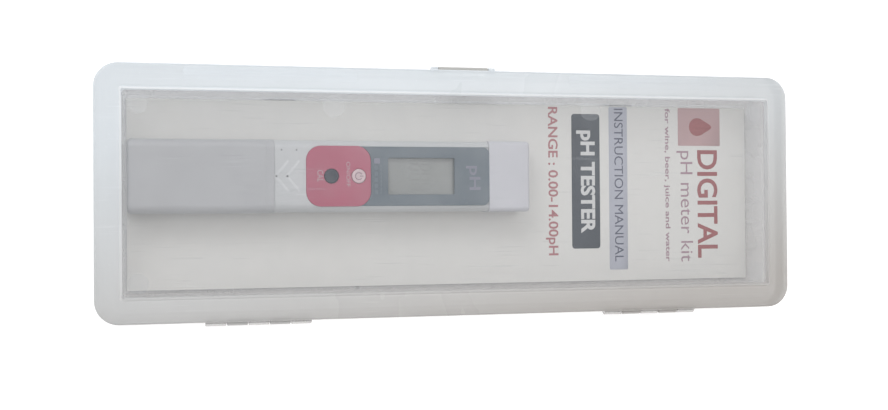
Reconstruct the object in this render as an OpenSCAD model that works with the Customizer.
// Slim digital pH meter in its hinged storage case, on top of its folded leaflet.
// X runs along the case, Y from the hinge side to the latch side, Z up from the table.

/* [Case] */
// Length of the closed case
case_l = 266; // [215:1:320]
// Width of the closed case, without hinge and latch
case_w = 91; // [76:1:115]
// Corner radius of the case, seen from above
case_corner_r = 8.5; // [6:0.5:12]
// Wall of both case halves
case_wall = 1.3; // [1:0.1:2]
// Floor of the case
case_floor = 1.4; // [1:0.1:2.4]
// Flat rim between the case's edge and the raised panel of the lid
rim_w = 8.8; // [6.5:0.1:11]
// Height of the raised panel above the rim
panel_rise = 0.9; // [0.4:0.1:2]
// Depth of the lid below its rim
lid_depth = 7.5; // [6:0.1:9]
// Free height between the buttons and the lid
head_room = 1.2; // [0.4:0.1:3]
// Overlap of the lid's skirt and the base's lip
lip_h = 2.7; // [1.5:0.1:3.5]
// Height of the shoulder that the lid rests on
shoulder_h = 1.4; // [1:0.1:2]

/* [Hinge] */
// Distance of each hinge from the case's middle
hinge_x = 76; // [50:0.5:95]
// Length of each hinge
hinge_l = 38; // [25:1:50]
// Outer radius of the hinge barrels
hinge_barrel_r = 1.5; // [1.2:0.05:2]
// Radius of the hinge pins
hinge_pin_r = 0.75; // [0.5:0.05:1]

/* [Latch] */
// Width of the latch flap
latch_w = 19; // [12:1:30]
// Length of the flap below its pin
latch_l = 7.4; // [5:0.1:9]
// Thickness of the flap
latch_t = 1.2; // [0.8:0.1:1.6]
// Radius of the latch pin
latch_pin_r = 0.6; // [0.4:0.05:0.7]

/* [Leaflet] */
// Thickness of the closed leaflet
leaflet_t = 1.6; // [0.8:0.1:3]
// Thickness of its cover card
card_t = 0.25; // [0.15:0.05:0.4]
// Free space at the leaflet's left end
leaflet_left_gap = 1.2; // [1:0.1:8]
// Free space at the leaflet's right end
leaflet_right_gap = 1; // [1:0.1:8]
// Free space at each long side of the leaflet
leaflet_side_gap = 1.0; // [0.8:0.1:4]

/* [Meter] */
// Length of the protective cap
cap_l = 51.2; // [46:0.1:65]
// Length of the housing between the cap and the battery cover
body_l = 80; // [78:0.5:100]
// Length of the battery cover
end_l = 16; // [13:0.1:22]
// Width of the cap and of the battery cover
meter_w = 26.5; // [25.6:0.1:33]
// Width of the housing
body_w = 26.1; // [25.2:0.1:33]
// Thickness of the meter
meter_t = 12.5; // [12:0.1:16]
// Corner radius of the meter's cross-section
edge_r = 3.2; // [2.2:0.1:4]
// Corner radius of the battery cover's cross-section
end_edge_r = 1.9; // [1.7:0.1:4]
// Wall of the housing and of the battery cover
shell_wall = 1.3; // [1:0.1:1.6]
// Wall of the protective cap
cap_wall = 1.4; // [1:0.1:1.8]
// Free space at the meter's left end
meter_left_gap = 1.2; // [1:0.1:8]
// Distance of the meter's axis from the middle of the case
meter_y = 6.1; // [-8:0.1:8]

/* [Display] */
// Length of the display window
window_l = 25.2; // [20:0.1:27]
// Width of the display window
window_w = 13.4; // [9:0.1:14]
// Length of the dark display surround
bezel_l = 45.1; // [40:0.1:46]
// Width of the dark display surround
bezel_w = 21.6; // [18:0.1:22.4]
// Corner radius of the display surround
bezel_r = 2.5; // [1:0.1:4]
// Distance from the surround's left end to the window
window_inset = 6.4; // [5:0.1:8]
// Thickness of the display glass
lcd_t = 1.6; // [1:0.1:2]

/* [Buttons] */
// Length of the button panel
key_panel_l = 23.7; // [20:0.1:24]
// Width of the button panel
key_panel_w = 22; // [18:0.1:23]
// Corner radius of the button panel
key_panel_r = 5.4; // [3:0.1:7]
// Distance from the housing's left end to the button panel
key_panel_inset = 11.2; // [11:0.1:12]
// Diameter of each button
button_d = 5.2; // [4:0.1:6]
// Distance from the panel's left end to the calibration button
cal_inset = 9.2; // [8:0.1:10]
// Distance between the two buttons
button_pitch = 10; // [8:0.1:11]
// Travel of each button
button_travel = 0.6; // [0.3:0.1:0.8]

/* [Probe] */
// Diameter of the probe stem
stem_d = 8; // [6:0.1:8.4]
// Length of the stem in front of the housing
stem_l = 30; // [22:0.5:34]
// Length of the guard around the glass bulb
guard_l = 9; // [7:0.1:10]
// Diameter of the glass bulb
bulb_d = 5.6; // [3.6:0.1:5.8]
// Length of the neck that the protective cap sits on
neck_l = 8; // [6:0.1:12]
// Length of the sponge in the tip of the cap
sponge_l = 7; // [3:0.1:8]

/* [Battery] */
// Diameter of the coin cell
cell_d = 20; // [16:0.1:20.2]
// Thickness of the coin cell
cell_t = 3.2; // [2:0.1:3.4]

/* [Clearances] */
// Gap between faces of pieces that move apart
part_gap = 0.3; // [0.25:0.05:0.5]
// Radial clearance of pins and buttons in their holes
run_gap = 0.05; // [0.02:0.01:0.1]
// Gap under the meter, where it lies on the leaflet
lay_gap = 0.1; // [0.05:0.05:0.3]

/* [Hidden] */
$fn = 48;
cut = 0.5;

// Base and tray, seen from above
base_inset = case_wall + part_gap - 0.1;
base_l = case_l - 2 * base_inset;
base_w = case_w - 2 * base_inset;
base_r = case_corner_r - base_inset;
tray_l = case_l - 2 * rim_w;
tray_w = case_w - 2 * rim_w;
tray_r = 1.6;
tray_wall = case_wall - 0.1;
tray_in_l = tray_l - 2 * tray_wall;
tray_in_w = tray_w - 2 * tray_wall;
skirt_wall = case_wall - 0.1;

// Heights, from the table up
leaflet_top = case_floor + leaflet_t;
meter_z0 = leaflet_top + lay_gap;
meter_z1 = meter_z0 + meter_t;
meter_zc = meter_z0 + meter_t / 2;
inlay_rise = 0.2;
button_rise = 0.3;
panel_under = meter_z1 + inlay_rise + button_rise + head_room;
panel_top = panel_under + case_wall;
rim_top = panel_top - panel_rise;
rim_under = rim_top - case_wall;
lid_z0 = rim_top - lid_depth;
shoulder_z1 = lid_z0 - part_gap;
lip_top = lid_z0 + lip_h;
tray_top = rim_under - part_gap;

// Hinge and latch
knuckle_count = 5;
knuckle_l = (hinge_l - (knuckle_count - 1) * part_gap) / knuckle_count;
hinge_y = -(case_w / 2 + part_gap);
hinge_z = lid_z0 - part_gap / 2;
latch_pin_y = case_w / 2 + 0.2;
latch_pin_z = lid_z0 + 3.5;
latch_barrel_r = 1.2;
latch_ear_l = 2.5;
latch_bore_r = latch_pin_r + run_gap;
keeper_h = 1;
keeper_y = case_w / 2 - 0.4;

// Stations along the meter
cap_x0 = -tray_in_l / 2 + meter_left_gap;
body_x0 = cap_x0 + cap_l;
body_x1 = body_x0 + body_l;
end_x1 = body_x1 + end_l;
key_panel_x0 = body_x0 + key_panel_inset;
cal_x = key_panel_x0 + cal_inset;
power_x = cal_x + button_pitch;
bezel_x1 = body_x1;
bezel_x0 = bezel_x1 - bezel_l;
window_x0 = bezel_x0 + window_inset;
window_xc = window_x0 + window_l / 2;

// Housing
body_in_w = body_w - 2 * shell_wall;
body_in_t = meter_t - 2 * shell_wall;
shell_top_in = meter_z1 - shell_wall;
shell_floor_in = meter_z0 + shell_wall;
inlay_t = 0.8;
inlay_z0 = meter_z1 + inlay_rise - inlay_t;
collar_t = 1.2;
lcd_margin = 1.2;
lcd_z1 = shell_top_in - 0.2;
lcd_z0 = lcd_z1 - lcd_t;
connector_h = 2.4;
board_z1 = lcd_z0 - connector_h;
board_t = 1;
board_z0 = board_z1 - board_t;
board_x0 = body_x0 + 5.7;
board_x1 = body_x1 - 9;
boss_r = 1.7;
boss_y = body_in_w / 2 - boss_r;
boss_x = [body_x0 + 9.7, body_x1 - 12.8];
screw_r = 0.8;
screw_head_r = 1.55;
screw_head_t = 1.1;
screw_sink = 0.2;

// Buttons
button_r = button_d / 2;
button_hole_r = button_r + 2 * run_gap;
button_top = meter_z1 + inlay_rise + button_rise;
button_flange_r = button_r + 0.7;
button_flange_z1 = shell_top_in - 0.1;
button_flange_z0 = button_flange_z1 - 0.9;
button_nub_l = 0.4;
switch_top = button_flange_z0 - button_nub_l - button_travel - 0.2;
switch_w = 5.2;
switch_body_t = 1.5;

// Probe
neck_w = meter_w - 2 * cap_wall - 2 * part_gap;
neck_t = meter_t - 2 * cap_wall - 2 * part_gap;
neck_r = edge_r - cap_wall;
holder_in_l = 5;
flange_t = 2;
stem_tail = 4;
stem_x0 = body_x0 - stem_l;
guard_x0 = stem_x0 - guard_l;
guard_wall = 0.8;
guard_slot_w = 2.6;
glass_r = 1.6;
glass_l = 8;
bulb_x = stem_x0 - guard_l + bulb_d / 2 + 1.2;
junction_r = 0.6;
junction_l = 2.5;
junction_z = meter_zc - (glass_r + stem_d / 2 - guard_wall) / 2;
seal_l = 1.6;
seal_depth = 0.5;
seal_gap = 0.1;

// Battery
end_in_w = meter_w - 2 * shell_wall;
end_in_t = meter_t - 2 * shell_wall;
carrier_w = end_in_w - 2 * part_gap;
carrier_t = end_in_t - 2 * part_gap;
carrier_x1 = end_x1 - shell_wall - 0.5;
carrier_end_wall = 1.2;
cell_gap = 0.15;
cell_x = carrier_x1 - carrier_end_wall - cell_gap - cell_d / 2;
carrier_x0 = cell_x - cell_d / 2 - cell_gap - carrier_end_wall;
carrier_r = edge_r - shell_wall;
strip_w = 5;
strip_t = 0.3;
strip_leg_x = board_x1 - 2;

// ---- Shapes that repeat ----

module rounded_rect(l, w, r) {
    square([l - 2 * r, w], center = true);
    square([l, w - 2 * r], center = true);
    for (x = [-1, 1], y = [-1, 1])
        translate([x * (l / 2 - r), y * (w / 2 - r)])
            circle(r);
}

module plate(l, w, r, z0, z1) {
    translate([0, 0, z0])
        linear_extrude(z1 - z0)
            rounded_rect(l, w, r);
}

module block(x0, x1, y0, y1, z0, z1) {
    translate([x0, y0, z0])
        cube([x1 - x0, y1 - y0, z1 - z0]);
}

// A rounded bar along X, centred on the meter's axis
module bar(x0, x1, w, t, r) {
    translate([x0, meter_y, meter_zc])
        rotate([90, 0, 90])
            linear_extrude(x1 - x0)
                rounded_rect(w, t, r);
}

// A round rod along X on the meter's axis
module rod(x0, x1, r) {
    translate([x0, meter_y, meter_zc])
        rotate([0, 90, 0])
            cylinder(h = x1 - x0, r = r);
}

module pin_x(x0, x1, y, z, r) {
    translate([x0, y, z])
        rotate([0, 90, 0])
            cylinder(h = x1 - x0, r = r);
}

module post(x, y, z0, z1, r) {
    translate([x, y, z0])
        cylinder(h = z1 - z0, r = r);
}

module at_screws() {
    for (x = boss_x, side = [-1, 1])
        translate([x, meter_y + side * boss_y, 0])
            children();
}

// Inlay plate set into the housing's face
module inlay(x0, l, w, r, z0, z1) {
    translate([x0 + l / 2, meter_y, 0])
        plate(l, w, r, z0, z1);
}

function knuckle_x0(hinge_side, i) = hinge_side * hinge_x - hinge_l / 2 + i * (knuckle_l + part_gap);

// ---- Case ----

// One half's knuckles: first = 0 for the base, 1 for the lid
module knuckles(first, web_y, web_z0, web_z1) {
    for (side = [-1, 1], i = [first:2:knuckle_count - 1]) {
        x0 = knuckle_x0(side, i);
        pin_x(x0, x0 + knuckle_l, hinge_y, hinge_z, hinge_barrel_r);
        block(x0, x0 + knuckle_l, hinge_y, web_y, web_z0, web_z1);
    }
}

module hinge_bores() {
    for (side = [-1, 1])
        pin_x(side * hinge_x - hinge_l / 2 - cut, side * hinge_x + hinge_l / 2 + cut,
            hinge_y, hinge_z, hinge_pin_r + run_gap);
}

module case_base() {
    color([0.86, 0.88, 0.9])
    difference() {
        union() {
            difference() {
                plate(base_l, base_w, base_r, 0, lip_top);
                plate(base_l - 2 * case_wall, base_w - 2 * case_wall, base_r - case_wall,
                    case_floor, lip_top + cut);
            }
            difference() {
                plate(case_l, case_w, case_corner_r, shoulder_z1 - shoulder_h, shoulder_z1);
                plate(base_l - case_wall, base_w - case_wall, base_r - case_wall / 2,
                    shoulder_z1 - shoulder_h - cut, shoulder_z1 + cut);
                for (side = [-1, 1])
                    block(side * hinge_x - hinge_l / 2 - part_gap, side * hinge_x + hinge_l / 2 + part_gap,
                        -case_w, -base_w / 2, 0, lip_top);
                block(-latch_w / 2 - part_gap, latch_w / 2 + part_gap, base_w / 2, case_w, 0, lip_top);
            }
            knuckles(0, -base_w / 2 + case_wall / 2, hinge_z - hinge_barrel_r, hinge_z - part_gap / 2);
            block(-latch_w / 2 + 1, latch_w / 2 - 1, base_w / 2 - case_wall / 2, keeper_y,
                latch_pin_z - latch_l + 0.8, latch_pin_z - latch_l + 0.8 + keeper_h);
        }
        hinge_bores();
    }
}

// Upright frame that keeps the leaflet and the meter in place
module tray_frame() {
    color([0.86, 0.88, 0.9])
    difference() {
        plate(tray_l, tray_w, tray_r, case_floor, tray_top);
        plate(tray_in_l, tray_in_w, tray_r / 2, case_floor - cut, tray_top + cut);
    }
}

// Faint round marks of the mould under the raised panel
module mould_marks() {
    mark_r = 3.6;
    mark_t = 0.2;
    mark_x = tray_l / 2 - 6;
    mark_y = tray_w / 2 - 5.4;
    for (x = [-mark_x, mark_x], y = [-mark_y, mark_y])
        post(x, y, panel_under - mark_t, panel_under, mark_r);
    for (x = [-hinge_x * 0.65, hinge_x * 0.65])
        post(x, mark_y, panel_under - mark_t, panel_under, mark_r + 0.4);
}

// Two low ribs on the rim along the latch side
module rim_ribs() {
    rib_l = 62;
    rib_w = 3.2;
    rib_h = 0.5;
    rib_x = 71.6;
    for (side = [-1, 1])
        translate([side * rib_x, case_w / 2 - rim_w / 2, 0])
            plate(rib_l, rib_w, rib_w / 2 - 0.1, rim_top, rim_top + rib_h);
}

module latch_ears() {
    for (side = [-1, 1]) {
        x0 = side * (latch_w / 2 + part_gap + latch_ear_l / 2) - latch_ear_l / 2;
        pin_x(x0, x0 + latch_ear_l, latch_pin_y, latch_pin_z, latch_barrel_r);
        block(x0, x0 + latch_ear_l, case_w / 2 - skirt_wall, latch_pin_y,
            latch_pin_z - latch_barrel_r, latch_pin_z + latch_barrel_r);
    }
}

module case_lid() {
    color([0.9, 0.91, 0.94])
    union() {
        difference() {
            union() {
                difference() {
                    plate(case_l, case_w, case_corner_r, lid_z0, rim_top);
                    plate(case_l - 2 * skirt_wall, case_w - 2 * skirt_wall, case_corner_r - skirt_wall,
                        lid_z0 - cut, rim_under);
                }
                plate(tray_l, tray_w, tray_r, rim_under, panel_top);
                knuckles(1, -case_w / 2 + skirt_wall, hinge_z + part_gap / 2, hinge_z + hinge_barrel_r);
                latch_ears();
            }
            plate(tray_in_l, tray_in_w, tray_r / 2, rim_under - cut, panel_under);
            for (side = [-1, 1], i = [0:2:knuckle_count - 1])
                block(knuckle_x0(side, i) - part_gap, knuckle_x0(side, i) + knuckle_l + part_gap,
                    -case_w, -base_w / 2, 0, hinge_z + hinge_barrel_r + part_gap);
            block(-latch_w / 2 - part_gap, latch_w / 2 + part_gap, base_w / 2, case_w,
                0, latch_pin_z + latch_barrel_r + part_gap);
            hinge_bores();
            pin_x(-latch_w, latch_w, latch_pin_y, latch_pin_z, latch_bore_r);
        }
        mould_marks();
        rim_ribs();
    }
}

module hinge_pins() {
    color([0.62, 0.62, 0.63])
    for (side = [-1, 1])
        pin_x(side * hinge_x - hinge_l / 2, side * hinge_x + hinge_l / 2, hinge_y, hinge_z, hinge_pin_r);
}

module case_latch() {
    lip_r = 0.8;
    flap_y = latch_pin_y + latch_barrel_r - latch_t;
    color([0.36, 0.38, 0.42])
    difference() {
        union() {
            pin_x(-latch_w / 2, latch_w / 2, latch_pin_y, latch_pin_z, latch_barrel_r);
            block(-latch_w / 2, latch_w / 2, flap_y, flap_y + latch_t, latch_pin_z - latch_l, latch_pin_z);
            pin_x(-latch_w / 2, latch_w / 2, flap_y + latch_t, latch_pin_z - latch_l + lip_r, lip_r);
        }
        pin_x(-latch_w, latch_w, latch_pin_y, latch_pin_z, latch_bore_r);
    }
}

module latch_pin() {
    pin_l = latch_w + 2 * (part_gap + latch_ear_l);
    color([0.62, 0.62, 0.63])
    pin_x(-pin_l / 2, pin_l / 2, latch_pin_y, latch_pin_z, latch_pin_r);
}

// ---- Leaflet ----

leaflet_x0 = -tray_in_l / 2 + leaflet_left_gap;
leaflet_x1 = tray_in_l / 2 - leaflet_right_gap;
leaflet_y1 = tray_in_w / 2 - leaflet_side_gap;

module leaflet_cover() {
    color([0.93, 0.92, 0.9])
    difference() {
        block(leaflet_x0, leaflet_x1, -leaflet_y1, leaflet_y1, case_floor, leaflet_top);
        block(leaflet_x0 - cut, leaflet_x1 + cut, -leaflet_y1 - cut, leaflet_y1 - card_t,
            case_floor + card_t, leaflet_top - card_t);
    }
}

module leaflet_pages() {
    page_inset = 0.6;
    color([0.96, 0.96, 0.95])
    block(leaflet_x0 + page_inset, leaflet_x1 - page_inset, -leaflet_y1 + page_inset, leaflet_y1 - card_t,
        case_floor + card_t, leaflet_top - card_t);
}

module leaflet_staples() {
    wire_r = 0.22;
    crown_l = 12;
    leg_l = 3;
    staple_z = case_floor + leaflet_t / 2;
    color([0.75, 0.75, 0.77])
    for (x = [leaflet_x0 * 0.55, leaflet_x1 * 0.55]) {
        pin_x(x - crown_l / 2, x + crown_l / 2, leaflet_y1 + wire_r, staple_z, wire_r);
        for (side = [-1, 1])
            translate([x + side * (crown_l / 2 - wire_r), leaflet_y1 + wire_r, staple_z])
                rotate([90, 0, 0])
                    cylinder(h = leg_l, r = wire_r);
    }
}

// ---- Cap ----

module protective_cap() {
    color([0.7, 0.7, 0.73])
    difference() {
        bar(cap_x0, body_x0 - part_gap, meter_w, meter_t, edge_r);
        bar(cap_x0 + cap_wall, body_x0 + cut,
            meter_w - 2 * cap_wall, meter_t - 2 * cap_wall, edge_r - cap_wall);
    }
}

module storage_sponge() {
    color([0.93, 0.85, 0.55])
    bar(cap_x0 + cap_wall, cap_x0 + cap_wall + sponge_l,
        meter_w - 2 * cap_wall, meter_t - 2 * cap_wall, edge_r - cap_wall);
}

// ---- Housing ----

module shell_tube() {
    difference() {
        bar(body_x0, body_x1, body_w, meter_t, edge_r);
        bar(body_x0 - cut, body_x1 + cut, body_in_w, body_in_t, edge_r - shell_wall);
    }
}

module front_shell() {
    color([0.8, 0.82, 0.83])
    difference() {
        union() {
            intersection() {
                shell_tube();
                block(body_x0, body_x1, meter_y - body_w, meter_y + body_w, meter_zc, meter_z1);
            }
            at_screws()
                post(0, 0, board_z1, shell_top_in, boss_r);
        }
        inlay(key_panel_x0, key_panel_l, key_panel_w, key_panel_r, inlay_z0, meter_z1 + cut);
        inlay(bezel_x0, bezel_l + cut, bezel_w, 0.3, inlay_z0, meter_z1 + cut);
        inlay(window_x0 - collar_t, window_l + 2 * collar_t, window_w + 2 * collar_t, collar_t,
            shell_top_in - cut, meter_z1 + cut);
        for (x = [cal_x, power_x])
            post(x, meter_y, shell_top_in - cut, meter_z1 + cut, button_hole_r);
        at_screws()
            post(0, 0, board_z1 - cut, shell_top_in - 0.6, screw_r + run_gap);
    }
}

module rear_shell() {
    color([0.78, 0.8, 0.81])
    difference() {
        union() {
            intersection() {
                shell_tube();
                block(body_x0, body_x1, meter_y - body_w, meter_y + body_w, meter_z0, meter_zc);
            }
            intersection() {
                bar(body_x0, body_x1, body_w, meter_t, edge_r);
                at_screws()
                    post(0, 0, shell_floor_in - cut, board_z0, boss_r + 0.2);
            }
        }
        at_screws() {
            post(0, 0, meter_z0 - cut, meter_zc, screw_r + run_gap);
            post(0, 0, meter_z0 - cut, meter_z0 + screw_sink + screw_head_t, screw_head_r + 2 * run_gap);
        }
    }
}

module housing_screws() {
    shank_top = shell_top_in - 1;
    socket_w = 1.9;
    socket_t = 0.35;
    color([0.6, 0.6, 0.62])
    at_screws()
        difference() {
            union() {
                post(0, 0, meter_z0 + screw_sink, meter_z0 + screw_sink + screw_head_t, screw_head_r);
                post(0, 0, meter_z0 + screw_sink, shank_top, screw_r);
            }
            for (turn = [0, 90])
                rotate([0, 0, turn])
                    block(-socket_w / 2, socket_w / 2, -socket_t / 2, socket_t / 2,
                        meter_z0, meter_z0 + screw_sink + screw_head_t / 2);
        }
}

// ---- Probe ----

module probe_holder() {
    groove_x0 = body_x0 - neck_l / 2;
    color([0.25, 0.26, 0.28])
    difference() {
        union() {
            bar(body_x0 - neck_l, body_x0 + holder_in_l, neck_w, neck_t, neck_r);
            bar(body_x0 + holder_in_l - flange_t, body_x0 + holder_in_l,
                body_in_w, body_in_t, edge_r - shell_wall);
        }
        difference() {
            bar(groove_x0, groove_x0 + seal_l, neck_w + 1, neck_t + 1, neck_r);
            bar(groove_x0 - cut, groove_x0 + seal_l + cut,
                neck_w - 2 * seal_depth, neck_t - 2 * seal_depth, neck_r - seal_depth);
        }
        rod(body_x0 - neck_l - cut, body_x0 + holder_in_l + cut, stem_d / 2);
    }
}

module cap_seal() {
    groove_x0 = body_x0 - neck_l / 2;
    color([0.75, 0.25, 0.2])
    difference() {
        bar(groove_x0, groove_x0 + seal_l, neck_w + 2 * (part_gap - seal_gap),
            neck_t + 2 * (part_gap - seal_gap), neck_r);
        bar(groove_x0 - cut, groove_x0 + seal_l + cut,
            neck_w - 2 * seal_depth, neck_t - 2 * seal_depth, neck_r - seal_depth);
    }
}

module probe_stem() {
    color([0.2, 0.21, 0.24])
    difference() {
        rod(stem_x0, body_x0 + stem_tail, stem_d / 2);
        rod(stem_x0 - cut, stem_x0 + glass_l, glass_r);
        pin_x(stem_x0 - cut, stem_x0 + junction_l, meter_y, junction_z, junction_r);
    }
}

module probe_guard() {
    color([0.2, 0.21, 0.24])
    difference() {
        rod(guard_x0, stem_x0, stem_d / 2);
        rod(guard_x0 - cut, stem_x0 + cut, stem_d / 2 - guard_wall);
        for (turn = [0, 90])
            translate([0, meter_y, meter_zc])
                rotate([turn, 0, 0])
                    block(guard_x0 - cut, stem_x0 - 2, -stem_d, stem_d, -guard_slot_w / 2, guard_slot_w / 2);
    }
}

module glass_bulb() {
    color([0.8, 0.9, 0.95])
    union() {
        rod(bulb_x, stem_x0 + glass_l, glass_r);
        translate([bulb_x, meter_y, meter_zc])
            sphere(bulb_d / 2);
    }
}

module reference_junction() {
    color([0.95, 0.95, 0.93])
    pin_x(stem_x0 - 0.3, stem_x0 + junction_l, meter_y, junction_z, junction_r);
}

module probe_lead() {
    lead_r = 0.6;
    color([0.15, 0.15, 0.16])
    pin_x(body_x0 + stem_tail, board_x0 + 4, meter_y, board_z1 + lead_r, lead_r);
}

// ---- Face ----

module button_panel() {
    color([0.77, 0.33, 0.42])
    difference() {
        inlay(key_panel_x0, key_panel_l, key_panel_w, key_panel_r, inlay_z0, meter_z1 + inlay_rise);
        for (x = [cal_x, power_x])
            post(x, meter_y, meter_z1 - 2, meter_z1 + 2, button_hole_r);
    }
}

module button(x) {
    post(x, meter_y, button_flange_z0, button_top, button_r);
    post(x, meter_y, button_flange_z0, button_flange_z1, button_flange_r);
    post(x, meter_y, button_flange_z0 - button_nub_l, button_flange_z0, 1);
}

module cal_button() {
    color([0.12, 0.13, 0.16])
    button(cal_x);
}

module power_button() {
    color([0.93, 0.82, 0.86])
    button(power_x);
}

module display_bezel() {
    color([0.2, 0.23, 0.3])
    difference() {
        union() {
            intersection() {
                inlay(bezel_x0 - key_panel_r, bezel_l + key_panel_r, bezel_w, bezel_r,
                    inlay_z0, meter_z1 + inlay_rise);
                block(bezel_x0, bezel_x1, meter_y - body_w, meter_y + body_w, meter_z0, meter_z1 + 2);
            }
            inlay(window_x0 - collar_t, window_l + 2 * collar_t, window_w + 2 * collar_t, collar_t,
                shell_top_in, inlay_z0 + cut);
        }
        inlay(window_x0, window_l, window_w, 0.4, shell_top_in - cut, meter_z1 + 2);
        inlay(key_panel_x0, key_panel_l, key_panel_w, key_panel_r, meter_z0, meter_z1 + 2);
    }
}

module display_lens() {
    color([0.85, 0.88, 0.88, 0.4])
    inlay(window_x0, window_l, window_w, 0.4, meter_z1 - 0.9, meter_z1);
}

module lcd_panel() {
    color([0.66, 0.68, 0.64])
    block(window_x0 - lcd_margin, window_x0 + window_l + lcd_margin,
        meter_y - window_w / 2 - lcd_margin, meter_y + window_w / 2 + lcd_margin, lcd_z0, lcd_z1);
}

module lcd_connectors() {
    strip = 1.4;
    inset = 0.3;
    lcd_edge = window_w / 2 + lcd_margin;
    color([0.85, 0.55, 0.6])
    for (side = [-1, 1])
        translate([0, meter_y + side * (lcd_edge - inset - strip / 2), 0])
            block(window_x0, window_x0 + window_l, -strip / 2, strip / 2, board_z1, lcd_z0);
}

module circuit_board() {
    board_w = body_in_w - 2 * part_gap;
    color([0.1, 0.4, 0.22])
    difference() {
        block(board_x0, board_x1, meter_y - board_w / 2, meter_y + board_w / 2, board_z0, board_z1);
        at_screws()
            post(0, 0, board_z0 - cut, board_z1 + cut, screw_r + 0.2);
    }
}

module circuit_chips() {
    chip_x = window_xc;
    color([0.08, 0.08, 0.09])
    union() {
        block(chip_x - 3.5, chip_x + 3.5, meter_y - 3.5, meter_y + 3.5, board_z0 - 1.2, board_z0);
        block(chip_x - 12, chip_x - 8, meter_y - 2.5, meter_y + 2.5, board_z0 - 1.4, board_z0);
        block(chip_x + 6, chip_x + 9, meter_y - 1, meter_y + 1, board_z0 - 0.9, board_z0);
    }
}

module switches() {
    color([0.3, 0.3, 0.32])
    for (x = [cal_x, power_x])
        union() {
            block(x - switch_w / 2, x + switch_w / 2, meter_y - switch_w / 2, meter_y + switch_w / 2,
                board_z1, board_z1 + switch_body_t);
            post(x, meter_y, board_z1 + switch_body_t, switch_top, 1.2);
        }
}

// ---- Battery ----

module battery_tray() {
    color([0.3, 0.31, 0.34])
    difference() {
        union() {
            bar(carrier_x0, carrier_x1, carrier_w, carrier_t, carrier_r);
            bar(body_x1 - 3.5, body_x1 - 1.5, body_in_w, body_in_t, edge_r - shell_wall);
        }
        post(cell_x, meter_y, meter_zc - cell_t / 2, meter_z1, cell_d / 2 + cell_gap);
        block(carrier_x0 - cut, cell_x, meter_y - strip_w / 2, meter_y + strip_w / 2,
            meter_zc - cell_t / 2 - strip_t, meter_z1);
    }
}

module coin_cell() {
    color([0.78, 0.78, 0.8])
    union() {
        post(cell_x, meter_y, meter_zc - cell_t / 2, meter_zc - cell_t / 2 + 0.4, cell_d / 2 - 1.2);
        post(cell_x, meter_y, meter_zc - cell_t / 2 + 0.4, meter_zc + cell_t / 2, cell_d / 2);
    }
}

module contact_positive() {
    strip_z = meter_zc + cell_t / 2;
    color([0.85, 0.72, 0.4])
    union() {
        block(strip_leg_x, cell_x, meter_y - strip_w / 2, meter_y + strip_w / 2, strip_z, strip_z + strip_t);
        block(strip_leg_x, strip_leg_x + strip_t, meter_y - strip_w / 2, meter_y + strip_w / 2,
            board_z1, strip_z + strip_t);
    }
}

module contact_negative() {
    strip_z = meter_zc - cell_t / 2 - strip_t;
    color([0.85, 0.72, 0.4])
    union() {
        block(strip_leg_x, cell_x, meter_y - strip_w / 2, meter_y + strip_w / 2, strip_z, strip_z + strip_t);
        block(strip_leg_x, strip_leg_x + strip_t, meter_y - strip_w / 2, meter_y + strip_w / 2,
            strip_z, board_z0);
    }
}

module battery_cover() {
    color([0.86, 0.86, 0.9])
    difference() {
        bar(body_x1 + part_gap, end_x1, meter_w, meter_t, end_edge_r);
        bar(body_x1 - cut, end_x1 - shell_wall, end_in_w, end_in_t, end_edge_r - shell_wall);
    }
}

case_base();
tray_frame();
case_lid();
hinge_pins();
case_latch();
latch_pin();
leaflet_cover();
leaflet_pages();
leaflet_staples();
protective_cap();
storage_sponge();
front_shell();
rear_shell();
housing_screws();
probe_holder();
cap_seal();
probe_stem();
probe_guard();
glass_bulb();
reference_junction();
probe_lead();
button_panel();
cal_button();
power_button();
display_bezel();
display_lens();
lcd_panel();
lcd_connectors();
circuit_board();
circuit_chips();
switches();
battery_tray();
coin_cell();
contact_positive();
contact_negative();
battery_cover();
